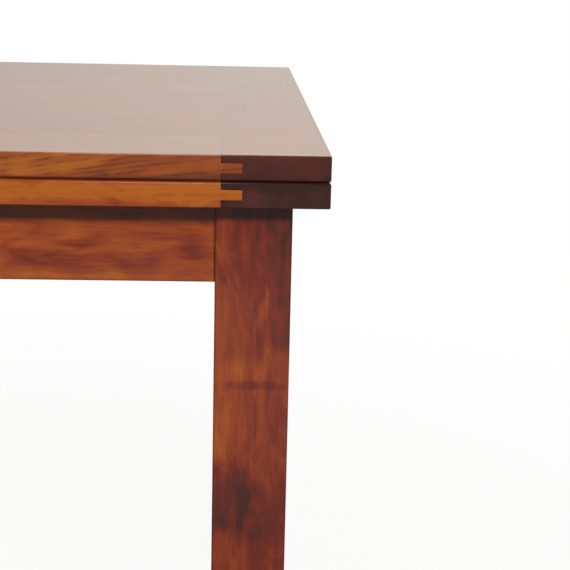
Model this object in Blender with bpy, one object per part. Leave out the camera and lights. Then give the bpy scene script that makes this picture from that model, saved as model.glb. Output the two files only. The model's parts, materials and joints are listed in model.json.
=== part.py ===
"""Dining table with a folded double top that slides forward and opens to twice its depth.

Metres, +Z up, -Y is the front, and the top's boards run along X. The origin is on the
floor under the middle of the closed table. Closed, the upper leaf lies face down on the
lower one. To open the table the pair slides forward on two runners by half its depth,
and the upper leaf turns over backwards on flush hinges that pivot twice, so that the
two leaves end up level and edge to edge, centred on the frame.
"""

import math

import bmesh
import bpy
from mathutils import Matrix, Vector

# Overall sizes of the closed table
TABLE_HEIGHT = 0.760
TOP_WIDTH = 0.900
TOP_DEPTH = 0.900

# Gaps and clearances
JOINT_GAP = 0.0003  # between pieces that are glued, screwed or seated together
SLIDE_CLEARANCE = 0.0008  # round the runners, so that the top slides freely
STOP_CLEARANCE = 0.0005  # between a runner's end and the apron that stops it
PIVOT_CLEARANCE = 0.0001  # round a hinge pin
LINK_CLEARANCE = 0.00015  # beside a hinge link

# The two leaves
LEAF_THICKNESS = 0.025
LEAF_GAP = 0.0006  # between the folded leaves
OPEN_SEAM = 0.0008  # between the leaves' edges when they lie open
BOARD_COUNT = 7
BREADBOARD_WIDTH = 0.104
BREADBOARD_SHORTFALL = 0.0008  # a breadboard end stops this short of the boards' edges
TONGUE_LENGTH = 0.020
TONGUE_THICKNESS = 0.010
OUTER_ARRIS = 0.001

# Legs and aprons
OVERHANG = 0.034
LEG_SIZE = 0.075
LEG_ARRIS = 0.0015
APRON_HEIGHT = 0.0795
APRON_THICKNESS = 0.024
APRON_SETBACK = 0.007  # behind the legs' outer faces
APRON_ARRIS = 0.0012
TENON_SHOULDER = 0.006
TENON_WEB = 0.006  # wood left in a leg between its two mortises

# Corner braces
BRACE_THICKNESS = 0.026
BRACE_HEIGHT = 0.048
BRACE_DROP = 0.010  # below the top of the frame

# Slide: two grooved rails in the frame, two tongued runners under the lower leaf
RAIL_WIDTH = 0.032
RAIL_LIP = 0.018  # wood under the groove
RAIL_HOUSING = 0.006  # how far a rail is let into the front and back aprons
RAIL_BRACE_SPACE = 0.025  # between a rail and the end of the nearest brace
RUNNER_WIDTH = 0.018
RUNNER_HEIGHT = 0.038
RUNNER_TONGUE_LENGTH = 0.009
RUNNER_TONGUE_HEIGHT = 0.010
FELT_THICKNESS = 0.0015
FELT_WIDTH = 0.016
FELT_END_SPACE = 0.012  # bare wood past each end of a felt strip

# Floor glides
GLIDE_THICKNESS = 0.004
GLIDE_RADIUS = 0.015
GLIDE_STEM_RADIUS = 0.003
GLIDE_STEM_LENGTH = 0.014
GLIDE_CHAMFER = 0.0015

# Flush hinges with two pivots
PIVOT_DEPTH = 0.0032  # pivot axis below the meeting face of its leaf
PIVOT_ARRIS_WOOD = 0.001  # the meeting arrises are eased by the pivot depth less this
HINGE_RECESS = 0.0004  # brass below the meeting face
HINGE_END_SPACE = 0.036  # from an outer hinge plate to the breadboard end
PLATE_LENGTH = 0.060
PLATE_WIDTH = 0.030
PLATE_THICKNESS = 0.0026
LUG_THICKNESS = 0.004
LUG_LENGTH = 0.010
LINK_THICKNESS = 0.005
PIN_RADIUS = 0.0013
SCREW_HOLE_RADIUS = 0.0018
SCREW_HEAD_RADIUS = 0.0036
SCREW_INSET = 0.007  # from a plate's edges to its screws

ROUND_STEPS = 16
GLIDE_STEPS = 24
TOUCH = 1e-5  # coordinates closer than this are the same

# Heights
FOLD_Z = TABLE_HEIGHT - LEAF_THICKNESS - LEAF_GAP / 2
LOWER_MEETING_Z = FOLD_Z - LEAF_GAP / 2
UPPER_MEETING_Z = FOLD_Z + LEAF_GAP / 2
LEAF_UNDERSIDE = LOWER_MEETING_Z - LEAF_THICKNESS
FELT_TOP = LEAF_UNDERSIDE - JOINT_GAP
FRAME_TOP = FELT_TOP - FELT_THICKNESS - JOINT_GAP
APRON_BOTTOM = FRAME_TOP - APRON_HEIGHT
LEG_BOTTOM = GLIDE_THICKNESS + JOINT_GAP

# Plan of the frame, measured from the middle
FRAME_X = TOP_WIDTH / 2 - OVERHANG
FRAME_Y = TOP_DEPTH / 2 - OVERHANG
LEG_INNER_X = FRAME_X - LEG_SIZE
LEG_INNER_Y = FRAME_Y - LEG_SIZE
APRON_INNER_X = FRAME_X - APRON_SETBACK - APRON_THICKNESS
APRON_INNER_Y = FRAME_Y - APRON_SETBACK - APRON_THICKNESS
TENON_THICKNESS = APRON_THICKNESS - 2 * TENON_SHOULDER
TENON_INNER_FACE = APRON_SETBACK + TENON_SHOULDER + TENON_THICKNESS  # from a leg's face
TENON_LENGTH = LEG_SIZE - TENON_INNER_FACE - TENON_WEB

# A brace crosses the corner at 45 degrees, just clear of the leg's inner corner
BRACE_OUTER_SUM = LEG_INNER_X + LEG_INNER_Y - JOINT_GAP
BRACE_INNER_SUM = BRACE_OUTER_SUM - BRACE_THICKNESS * math.sqrt(2)
BRACE_END_X = APRON_INNER_X - JOINT_GAP
BRACE_END_Y = APRON_INNER_Y - JOINT_GAP

# Slide
SLIDE_TRAVEL = TOP_DEPTH / 2
RAIL_OUTER_X = BRACE_INNER_SUM - BRACE_END_Y - RAIL_BRACE_SPACE
RAIL_INNER_X = RAIL_OUTER_X - RAIL_WIDTH
RUNNER_TOP = LEAF_UNDERSIDE - JOINT_GAP
RUNNER_BOTTOM = RUNNER_TOP - RUNNER_HEIGHT
RUNNER_OUTER_X = RAIL_INNER_X - SLIDE_CLEARANCE
RUNNER_LENGTH = 2 * APRON_INNER_Y - SLIDE_TRAVEL - 2 * STOP_CLEARANCE
RUNNER_BACK = APRON_INNER_Y - STOP_CLEARANCE
GROOVE_BOTTOM = RUNNER_BOTTOM - SLIDE_CLEARANCE
GROOVE_TOP = RUNNER_BOTTOM + RUNNER_TONGUE_HEIGHT + SLIDE_CLEARANCE
GROOVE_END_X = RUNNER_OUTER_X + RUNNER_TONGUE_LENGTH + SLIDE_CLEARANCE
RAIL_BOTTOM = GROOVE_BOTTOM - RAIL_LIP

# Leaves and hinges
BACK_EDGE = TOP_DEPTH / 2
FIELD_X = TOP_WIDTH / 2 - BREADBOARD_WIDTH  # where boards and breadboard ends meet
MEETING_ARRIS = PIVOT_DEPTH - PIVOT_ARRIS_WOOD
PIVOT_Y = BACK_EDGE - PIVOT_DEPTH - LEAF_GAP / 2 + OPEN_SEAM / 2
LOWER_PIVOT_Z = LOWER_MEETING_Z - PIVOT_DEPTH
UPPER_PIVOT_Z = UPPER_MEETING_Z + PIVOT_DEPTH
KNUCKLE_RADIUS = PIVOT_DEPTH - HINGE_RECESS
SLOT_HALF = LINK_THICKNESS / 2 + LINK_CLEARANCE
LUGS_HALF = SLOT_HALF + LUG_THICKNESS
HINGE_X = FIELD_X - HINGE_END_SPACE - PLATE_LENGTH / 2
HINGE_PLACES = {"left": -HINGE_X, "middle": 0.0, "right": HINGE_X}

CORNERS = {"front_left": (-1, -1), "front_right": (1, -1), "back_left": (-1, 1), "back_right": (1, 1)}
SIDES = {"left": -1, "right": 1}


def clear_scene():
    """Remove whatever the scene holds."""
    for old in list(bpy.data.objects):
        bpy.data.objects.remove(old, do_unlink=True)


def make_material(name, colour, roughness, metallic=0.0):
    """A Principled material with one linear colour."""
    material = bpy.data.materials.new(name)
    material.use_nodes = True
    shader = material.node_tree.nodes["Principled BSDF"]
    shader.inputs["Base Color"].default_value = (*colour, 1.0)
    shader.inputs["Roughness"].default_value = roughness
    shader.inputs["Metallic"].default_value = metallic
    material.diffuse_color = (*colour, 1.0)
    return material


def make_materials():
    """The table's finishes, by the piece that shows them most."""
    return {
        "board": make_material("chestnut_stained_hardwood_face_grain", (0.37, 0.105, 0.022), 0.32),
        "breadboard": make_material("chestnut_stained_hardwood_cross_grain", (0.12, 0.035, 0.020), 0.34),
        "leg": make_material("chestnut_stained_hardwood_leg", (0.24, 0.055, 0.021), 0.34),
        "apron": make_material("chestnut_stained_hardwood_apron", (0.25, 0.060, 0.020), 0.36),
        "inner_wood": make_material("bare_hardwood", (0.42, 0.24, 0.12), 0.60),
        "felt": make_material("brown_felt", (0.045, 0.028, 0.020), 0.95),
        "glide": make_material("black_nylon", (0.02, 0.02, 0.02), 0.45),
        "brass": make_material("lacquered_brass", (0.72, 0.48, 0.17), 0.30, 1.0),
        "steel": make_material("plated_steel", (0.56, 0.55, 0.53), 0.30, 1.0),
    }


def world_origin(carrier):
    """Where a carrier's origin is, with every joint at rest."""
    place = Vector((0.0, 0.0, 0.0))
    while carrier:
        place += carrier.location
        carrier = carrier.parent
    return place


def add_carrier(name, place, parent=None):
    """An empty that carries the pieces of one moving body."""
    carrier = bpy.data.objects.new(name, None)
    bpy.context.collection.objects.link(carrier)
    carrier.parent = parent
    carrier.location = Vector(place) - world_origin(parent)
    return carrier


def add_piece(name, shape, origin, carrier, material, smooth=False):
    """Turn a shape drawn in world space into an object with the given origin."""
    bmesh.ops.recalc_face_normals(shape, faces=shape.faces)
    bmesh.ops.translate(shape, vec=-Vector(origin), verts=shape.verts)
    mesh = bpy.data.meshes.new(name)
    shape.to_mesh(mesh)
    shape.free()
    if smooth:
        mesh.shade_smooth()
        mesh.set_sharp_from_angle(angle=math.radians(35))
    if material:
        mesh.materials.append(material)
    piece = bpy.data.objects.new(name, mesh)
    bpy.context.collection.objects.link(piece)
    piece.parent = carrier
    piece.location = Vector(origin) - world_origin(carrier)
    return piece


def combine(piece, name, shape, operation):
    """Cut a hidden helper shape from a piece, or join it on."""
    helper = add_piece(name, shape, world_origin(piece), piece, None)
    helper.hide_render = True
    helper.display_type = "WIRE"
    boolean = piece.modifiers.new(name, "BOOLEAN")
    boolean.operation = operation
    boolean.solver = "EXACT"
    boolean.object = helper


def box(one, other, shape=None):
    """A box between two opposite corners, added to a shape if there is one."""
    shape = shape or bmesh.new()
    one, other = Vector(one), Vector(other)
    size = Matrix.Diagonal([abs(a - b) for a, b in zip(one, other)] + [1.0])
    bmesh.ops.create_cube(shape, size=1.0, matrix=Matrix.Translation((one + other) / 2) @ size)
    return shape


def along(axis, run, u, v):
    """A point from its place on an axis and the other two coordinates, in order."""
    point = [u, v]
    point.insert("XYZ".index(axis), run)
    return Vector(point)


def prism(outline, axis, start, end):
    """An outline in the plane square to an axis, extruded along that axis."""
    shape = bmesh.new()
    face = shape.faces.new([shape.verts.new(along(axis, start, u, v)) for u, v in outline])
    extruded = bmesh.ops.extrude_face_region(shape, geom=[face])["geom"]
    moved = [item for item in extruded if isinstance(item, bmesh.types.BMVert)]
    bmesh.ops.translate(shape, vec=along(axis, end - start, 0.0, 0.0), verts=moved)
    return shape


def lathe(profile, place, steps, shape=None):
    """A profile of (radius, height) pairs turned about a vertical axis, ends on the axis."""
    shape = shape or bmesh.new()
    points = [shape.verts.new(Vector(place) + Vector((r, 0.0, z))) for r, z in profile]
    edges = [shape.edges.new(pair) for pair in zip(points, points[1:])]
    bmesh.ops.spin(shape, geom=points + edges, cent=place, axis=(0, 0, 1), steps=steps, angle=math.tau)
    bmesh.ops.remove_doubles(shape, verts=shape.verts, dist=TOUCH / 10)
    return shape


def rod(centre, radius, length, shape=None):
    """A round rod along X."""
    shape = shape or bmesh.new()
    turn = Matrix.Translation(centre) @ Matrix.Rotation(math.pi / 2, 4, "Y")
    bmesh.ops.create_cone(shape, cap_ends=True, segments=ROUND_STEPS, radius1=radius, radius2=radius,
                          depth=length, matrix=turn)
    return shape


def arc(centre, radius, start, end, steps):
    """Points on an arc, with its angles in degrees."""
    angles = [math.radians(start + (end - start) * step / steps) for step in range(steps + 1)]
    return [(centre[0] + radius * math.cos(a), centre[1] + radius * math.sin(a)) for a in angles]


def same(a, b):
    """Whether two coordinates are the same."""
    return abs(a - b) < TOUCH


def chamfer(shape, width, chosen, segments=1):
    """Bevel the edges whose two ends pass the test."""
    edges = [edge for edge in shape.edges if chosen(*[vert.co for vert in edge.verts])]
    bmesh.ops.bevel(shape, geom=edges, offset=width, offset_type="OFFSET", segments=segments,
                    profile=0.5, affect="EDGES", clamp_overlap=True)


def grown(low, high, gap):
    """The corners of a box, moved outwards by a gap on every side."""
    step = Vector((gap, gap, gap))
    corner = Vector([min(pair) for pair in zip(low, high)])
    opposite = Vector([max(pair) for pair in zip(low, high)])
    return corner - step, opposite + step


def tenon_ends(axis, side_along, side_across):
    """Opposite corners of the tenon at one end of an apron that runs along an axis."""
    inner, across = (LEG_INNER_X, FRAME_Y) if axis == "X" else (LEG_INNER_Y, FRAME_X)
    near = across - APRON_SETBACK - TENON_SHOULDER
    corners = []
    for run, cross, height in (
        (inner, near, APRON_BOTTOM + TENON_SHOULDER),
        (inner + TENON_LENGTH, near - TENON_THICKNESS, FRAME_TOP - TENON_SHOULDER),
    ):
        flat = (side_along * run, side_across * cross)
        corners.append(Vector((*(flat if axis == "X" else flat[::-1]), height)))
    return corners


def glide_profile(gap=0.0):
    """A floor glide's disc and stem, or with a gap the hole that takes the stem."""
    if gap:
        radius, top = GLIDE_STEM_RADIUS + gap, GLIDE_THICKNESS + GLIDE_STEM_LENGTH + gap
        return [(0.0, 0.0), (radius, 0.0), (radius, top), (0.0, top)]
    return [
        (0.0, 0.0),
        (GLIDE_RADIUS - GLIDE_CHAMFER, 0.0),
        (GLIDE_RADIUS, GLIDE_CHAMFER),
        (GLIDE_RADIUS, GLIDE_THICKNESS),
        (GLIDE_STEM_RADIUS, GLIDE_THICKNESS),
        (GLIDE_STEM_RADIUS, GLIDE_THICKNESS + GLIDE_STEM_LENGTH),
        (0.0, GLIDE_THICKNESS + GLIDE_STEM_LENGTH),
    ]


def build_legs(carrier, materials):
    """Four square legs, each mortised on its two inner sides and bored for its glide."""
    for corner, (sx, sy) in CORNERS.items():
        shape = box((sx * LEG_INNER_X, sy * LEG_INNER_Y, LEG_BOTTOM), (sx * FRAME_X, sy * FRAME_Y, FRAME_TOP))
        chamfer(shape, LEG_ARRIS, lambda a, b: same(a.x, b.x) and same(a.y, b.y))
        chamfer(shape, LEG_ARRIS, lambda a, b: same(a.z, LEG_BOTTOM) and same(b.z, LEG_BOTTOM))
        centre = Vector((sx * (FRAME_X - LEG_SIZE / 2), sy * (FRAME_Y - LEG_SIZE / 2), 0.0))
        leg = add_piece(f"leg_{corner}", shape, centre, carrier, materials["leg"])
        mortises = box(*grown(*tenon_ends("X", sx, sy), JOINT_GAP))
        box(*grown(*tenon_ends("Y", sy, sx), JOINT_GAP), mortises)
        combine(leg, f"leg_{corner}_mortises", mortises, "DIFFERENCE")
        bore = lathe(glide_profile(JOINT_GAP), centre, GLIDE_STEPS)
        combine(leg, f"leg_{corner}_glide_bore", bore, "DIFFERENCE")
        glide = lathe(glide_profile(), centre, GLIDE_STEPS)
        add_piece(f"floor_glide_{corner}", glide, centre, carrier, materials["glide"], smooth=True)


def build_apron(name, axis, side, carrier, material):
    """One apron: a board between two legs, with a shouldered tenon at each end."""
    inner, across = (LEG_INNER_X, FRAME_Y) if axis == "X" else (LEG_INNER_Y, FRAME_X)
    half = inner - JOINT_GAP
    outer_face = side * (across - APRON_SETBACK)
    inner_face = outer_face - side * APRON_THICKNESS
    ends = [(-half, outer_face, APRON_BOTTOM), (half, inner_face, FRAME_TOP)]
    shape = box(*[(u, v, z) if axis == "X" else (v, u, z) for u, v, z in ends])
    for end in (-1, 1):
        direction = along(axis, float(end), 0.0, 0.0)
        shape.normal_update()
        face = next(f for f in shape.faces if f.normal.dot(direction) > 0.99)
        bmesh.ops.inset_region(shape, faces=[face], thickness=TENON_SHOULDER, use_even_offset=True)
        tenon_end = bmesh.ops.extrude_discrete_faces(shape, faces=[face])["faces"][0]
        bmesh.ops.translate(shape, vec=direction * (TENON_LENGTH + JOINT_GAP), verts=tenon_end.verts)
    chamfer(shape, APRON_ARRIS, lambda a, b: same(a.z, APRON_BOTTOM) and same(b.z, APRON_BOTTOM)
            and abs(a.x - b.x) + abs(a.y - b.y) > APRON_THICKNESS + TOUCH)
    centre = along(axis, 0.0, (outer_face + inner_face) / 2, (APRON_BOTTOM + FRAME_TOP) / 2)
    return add_piece(name, shape, centre, carrier, material)


def build_aprons(carrier, materials):
    """Four aprons. The front and back ones are housed for the ends of the rails."""
    for name, side in (("front", -1), ("back", 1)):
        apron = build_apron(f"apron_{name}", "X", side, carrier, materials["apron"])
        housings = bmesh.new()
        for sx in SIDES.values():
            low = (sx * RAIL_INNER_X, side * (APRON_INNER_Y + RAIL_HOUSING), RAIL_BOTTOM)
            high = (sx * RAIL_OUTER_X, side * (APRON_INNER_Y - RAIL_HOUSING), FRAME_TOP + RAIL_HOUSING)
            box(*grown(low, high, JOINT_GAP), housings)
        combine(apron, f"apron_{name}_housings", housings, "DIFFERENCE")
    for name, side in SIDES.items():
        build_apron(f"apron_{name}", "Y", side, carrier, materials["apron"])


def build_braces(carrier, materials):
    """A diagonal brace in each corner, mitred to lie flat against both aprons."""
    top = FRAME_TOP - BRACE_DROP
    outline = [
        (BRACE_OUTER_SUM - BRACE_END_Y, BRACE_END_Y),
        (BRACE_END_X, BRACE_OUTER_SUM - BRACE_END_X),
        (BRACE_END_X, BRACE_INNER_SUM - BRACE_END_X),
        (BRACE_INNER_SUM - BRACE_END_Y, BRACE_END_Y),
    ]
    for corner, (sx, sy) in CORNERS.items():
        shape = prism([(sx * x, sy * y) for x, y in outline], "Z", top - BRACE_HEIGHT, top)
        centre = (sx * LEG_INNER_X, sy * LEG_INNER_Y, top - BRACE_HEIGHT / 2)
        add_piece(f"corner_brace_{corner}", shape, centre, carrier, materials["inner_wood"])


def build_rails(carrier, materials):
    """Two grooved rails between the front and back aprons, each topped with felt."""
    half = APRON_INNER_Y + RAIL_HOUSING
    felt_half = APRON_INNER_Y - FELT_END_SPACE
    for name, sx in SIDES.items():
        outline = [
            (RAIL_INNER_X, RAIL_BOTTOM), (RAIL_OUTER_X, RAIL_BOTTOM),
            (RAIL_OUTER_X, FRAME_TOP), (RAIL_INNER_X, FRAME_TOP),
            (RAIL_INNER_X, GROOVE_TOP), (GROOVE_END_X, GROOVE_TOP),
            (GROOVE_END_X, GROOVE_BOTTOM), (RAIL_INNER_X, GROOVE_BOTTOM),
        ]
        shape = prism([(sx * x, z) for x, z in outline], "Y", -half, half)
        middle = sx * (RAIL_INNER_X + RAIL_OUTER_X) / 2
        add_piece(f"guide_rail_{name}", shape, (middle, 0.0, FRAME_TOP), carrier, materials["inner_wood"])
        felt = box((middle - FELT_WIDTH / 2, -felt_half, FELT_TOP),
                   (middle + FELT_WIDTH / 2, felt_half, FELT_TOP - FELT_THICKNESS))
        add_piece(f"rail_felt_{name}", felt, (middle, 0.0, FELT_TOP), carrier, materials["felt"])


def build_apron_felts(carrier, materials):
    """Felt strips on the front and back aprons, which the lower leaf slides over."""
    half = LEG_INNER_X - FELT_END_SPACE
    for name, side in (("front", -1), ("back", 1)):
        middle = side * (APRON_INNER_Y + APRON_THICKNESS / 2)
        felt = box((-half, middle - FELT_WIDTH / 2, FELT_TOP - FELT_THICKNESS),
                   (half, middle + FELT_WIDTH / 2, FELT_TOP))
        add_piece(f"apron_felt_{name}", felt, (0.0, middle, FELT_TOP), carrier, materials["felt"])


def build_runners(carrier, materials):
    """Two tongued runners under the lower leaf's back half, held down by the rails."""
    tongue_top = RUNNER_BOTTOM + RUNNER_TONGUE_HEIGHT
    inner, outer = RUNNER_OUTER_X - RUNNER_WIDTH, RUNNER_OUTER_X
    outline = [
        (inner, RUNNER_BOTTOM), (outer + RUNNER_TONGUE_LENGTH, RUNNER_BOTTOM),
        (outer + RUNNER_TONGUE_LENGTH, tongue_top), (outer, tongue_top),
        (outer, RUNNER_TOP), (inner, RUNNER_TOP),
    ]
    for name, sx in SIDES.items():
        shape = prism([(sx * x, z) for x, z in outline], "Y", RUNNER_BACK - RUNNER_LENGTH, RUNNER_BACK)
        centre = (sx * (inner + outer) / 2, RUNNER_BACK - RUNNER_LENGTH / 2, RUNNER_TOP)
        add_piece(f"runner_{name}", shape, centre, carrier, materials["inner_wood"])


def build_boards(leaf, meeting_z, outward, carrier, material):
    """One leaf's boards, side by side, each with a tongue at both ends. Returns the back board."""
    outer_z = meeting_z + outward * LEAF_THICKNESS
    middle = (meeting_z + outer_z) / 2
    low, high = middle - TONGUE_THICKNESS / 2, middle + TONGUE_THICKNESS / 2
    bottom, top = sorted((meeting_z, outer_z))
    shoulder, end = FIELD_X - JOINT_GAP, FIELD_X + TONGUE_LENGTH
    right = [(shoulder, bottom), (shoulder, low), (end, low), (end, high), (shoulder, high), (shoulder, top)]
    outline = right + [(-x, z) for x, z in reversed(right)]
    width = (TOP_DEPTH - (BOARD_COUNT - 1) * JOINT_GAP) / BOARD_COUNT
    for number in range(BOARD_COUNT):
        front = -BACK_EDGE + number * (width + JOINT_GAP)
        shape = prism(outline, "Y", front, front + width)
        for z, ease in ((meeting_z, MEETING_ARRIS), (outer_z, OUTER_ARRIS)):
            chamfer(shape, ease, lambda a, b: same(a.z, z) and same(b.z, z) and same(a.y, b.y)
                    and same(abs(a.y), BACK_EDGE))
        centre = (0.0, front + width / 2, middle)
        board = add_piece(f"{leaf}_leaf_board_{number + 1}", shape, centre, carrier, material)
    return board


def build_breadboards(leaf, meeting_z, outward, carrier, material):
    """The two cross-grained ends of a leaf, grooved right through for the boards' tongues."""
    outer_z = meeting_z + outward * LEAF_THICKNESS
    middle = (meeting_z + outer_z) / 2
    reach = TONGUE_THICKNESS / 2 + JOINT_GAP
    floor = FIELD_X + TONGUE_LENGTH + JOINT_GAP
    edge = TOP_WIDTH / 2
    half = BACK_EDGE - BREADBOARD_SHORTFALL
    bottom, top = sorted((meeting_z, outer_z))
    outline = [
        (FIELD_X, bottom), (edge, bottom), (edge, top), (FIELD_X, top),
        (FIELD_X, middle + reach), (floor, middle + reach), (floor, middle - reach), (FIELD_X, middle - reach),
    ]
    for name, sx in SIDES.items():
        shape = prism([(sx * x, z) for x, z in outline], "Y", -half, half)
        chamfer(shape, OUTER_ARRIS, lambda a, b: same(a.x, sx * edge) and same(b.x, sx * edge)
                and same(a.y, b.y))
        for z, ease in ((meeting_z, MEETING_ARRIS), (outer_z, OUTER_ARRIS)):
            chamfer(shape, ease, lambda a, b: same(a.z, z) and same(b.z, z)
                    and not (same(a.x, sx * FIELD_X) and same(b.x, sx * FIELD_X)))
        centre = (sx * (FIELD_X + edge) / 2, 0.0, middle)
        add_piece(f"{leaf}_leaf_breadboard_{name}", shape, centre, carrier, material)


def hinge_seat(board, name, x, meeting_z, outward):
    """Let one hinge plate and its knuckle into the back board of a leaf."""
    seat_floor = meeting_z + outward * (HINGE_RECESS + PLATE_THICKNESS + JOINT_GAP)
    knuckle_floor = meeting_z + outward * (PIVOT_DEPTH + KNUCKLE_RADIUS + JOINT_GAP)
    above = meeting_z - outward * PLATE_THICKNESS
    half = PLATE_LENGTH / 2 + JOINT_GAP
    seat = box((x - half, PIVOT_Y - PLATE_WIDTH - JOINT_GAP, above), (x + half, PIVOT_Y + JOINT_GAP, seat_floor))
    combine(board, f"{name}_seat", seat, "DIFFERENCE")
    half = LUGS_HALF + JOINT_GAP
    pocket = box((x - half, PIVOT_Y - LUG_LENGTH - JOINT_GAP, above), (x + half, BACK_EDGE + LUG_LENGTH, knuckle_floor))
    combine(board, f"{name}_pocket", pocket, "DIFFERENCE")


def screw_holes(x, plate_z, outward):
    """Four countersunk holes through a hinge plate, as one cutter."""
    under = PLATE_THICKNESS + SCREW_HOLE_RADIUS
    sink = SCREW_HEAD_RADIUS - SCREW_HOLE_RADIUS
    profile = [
        (0.0, -sink), (SCREW_HEAD_RADIUS + sink, -sink), (SCREW_HOLE_RADIUS, sink),
        (SCREW_HOLE_RADIUS, under), (0.0, under),
    ]
    cutter = bmesh.new()
    for across in (-1, 1):
        for y in (PIVOT_Y - PLATE_WIDTH + SCREW_INSET, PIVOT_Y - LUG_LENGTH - SCREW_INSET / 2):
            place = (x + across * (PLATE_LENGTH / 2 - SCREW_INSET), y, plate_z)
            lathe([(r, outward * z) for r, z in profile], place, ROUND_STEPS, cutter)
    return cutter


def build_hinge_plate(name, x, meeting_z, pivot_z, outward, carrier, materials):
    """A brass plate, flush in its leaf, whose two lugs hold the pin that a link turns on."""
    plate_z = meeting_z + outward * HINGE_RECESS
    plate_floor = plate_z + outward * PLATE_THICKNESS
    half = PLATE_LENGTH / 2
    shape = box((x - half, PIVOT_Y - PLATE_WIDTH, plate_z), (x + half, PIVOT_Y, plate_floor))
    plate = add_piece(f"hinge_plate_{name}", shape, (x, PIVOT_Y, pivot_z), carrier, materials["brass"])
    knuckle = arc((PIVOT_Y, pivot_z), KNUCKLE_RADIUS, -90, 90, ROUND_STEPS // 2)
    knuckle += [(PIVOT_Y - LUG_LENGTH, pivot_z + KNUCKLE_RADIUS), (PIVOT_Y - LUG_LENGTH, pivot_z - KNUCKLE_RADIUS)]
    combine(plate, f"{name}_lugs", prism(knuckle, "X", x - LUGS_HALF, x + LUGS_HALF), "UNION")
    slot = box((x - SLOT_HALF, PIVOT_Y - KNUCKLE_RADIUS - JOINT_GAP, pivot_z - 2 * KNUCKLE_RADIUS),
               (x + SLOT_HALF, PIVOT_Y + 2 * KNUCKLE_RADIUS, pivot_z + 2 * KNUCKLE_RADIUS))
    combine(plate, f"{name}_slot", slot, "DIFFERENCE")
    bore = rod((x, PIVOT_Y, pivot_z), PIN_RADIUS + PIVOT_CLEARANCE, PLATE_LENGTH / 2)
    combine(plate, f"{name}_bore", bore, "DIFFERENCE")
    combine(plate, f"{name}_screw_holes", screw_holes(x, plate_z, outward), "DIFFERENCE")
    pin = rod((x, PIVOT_Y, pivot_z), PIN_RADIUS, 2 * LUGS_HALF - 2 * JOINT_GAP)
    add_piece(f"hinge_pin_{name}", pin, (x, PIVOT_Y, pivot_z), carrier, materials["steel"], smooth=True)


def build_hinge_link(name, x, carrier, materials):
    """The short bar that joins the two pins of a hinge."""
    outline = arc((PIVOT_Y, LOWER_PIVOT_Z), KNUCKLE_RADIUS, 180, 360, ROUND_STEPS // 2)
    outline += arc((PIVOT_Y, UPPER_PIVOT_Z), KNUCKLE_RADIUS, 0, 180, ROUND_STEPS // 2)
    half = LINK_THICKNESS / 2
    link = add_piece(f"hinge_link_{name}", prism(outline, "X", x - half, x + half),
                     (x, PIVOT_Y, LOWER_PIVOT_Z), carrier, materials["brass"], smooth=True)
    for pivot_name, z in (("lower", LOWER_PIVOT_Z), ("upper", UPPER_PIVOT_Z)):
        bore = rod((x, PIVOT_Y, z), PIN_RADIUS + PIVOT_CLEARANCE, 2 * LUGS_HALF)
        combine(link, f"hinge_link_{name}_{pivot_name}_bore", bore, "DIFFERENCE")


def build_leaf(leaf, meeting_z, pivot_z, outward, carrier, materials):
    """A leaf: boards, breadboard ends and its half of each hinge."""
    back_board = build_boards(leaf, meeting_z, outward, carrier, materials["board"])
    build_breadboards(leaf, meeting_z, outward, carrier, materials["breadboard"])
    for place, x in HINGE_PLACES.items():
        name = f"{leaf}_{place}"
        hinge_seat(back_board, name, x, meeting_z, outward)
        build_hinge_plate(name, x, meeting_z, pivot_z, outward, carrier, materials)


def main():
    """Build the closed table, with each moving body on its own empty."""
    clear_scene()
    materials = make_materials()
    frame = add_carrier("frame_body", (0.0, 0.0, 0.0))
    slide = add_carrier("lower_leaf_body", (0.0, 0.0, LEAF_UNDERSIDE), frame)
    links = add_carrier("hinge_links_body", (0.0, PIVOT_Y, LOWER_PIVOT_Z), slide)
    fold = add_carrier("upper_leaf_body", (0.0, PIVOT_Y, UPPER_PIVOT_Z), links)
    build_legs(frame, materials)
    build_aprons(frame, materials)
    build_braces(frame, materials)
    build_rails(frame, materials)
    build_apron_felts(frame, materials)
    build_leaf("lower", LOWER_MEETING_Z, LOWER_PIVOT_Z, -1, slide, materials)
    build_runners(slide, materials)
    for place, x in HINGE_PLACES.items():
        build_hinge_link(place, x, links, materials)
    build_leaf("upper", UPPER_MEETING_Z, UPPER_PIVOT_Z, 1, fold, materials)
    bpy.context.view_layer.update()


main()
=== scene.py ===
"""Looks of a fold-over dining table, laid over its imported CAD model.

Every CAD node keeps its shape and gets a procedural finish. Added are the screws of hinges, runners
and braces, the glue in the frame's joints, and the stain that fills the leaves' hairline joints.
Metres, +Z up, -Y is the front.
"""

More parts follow.
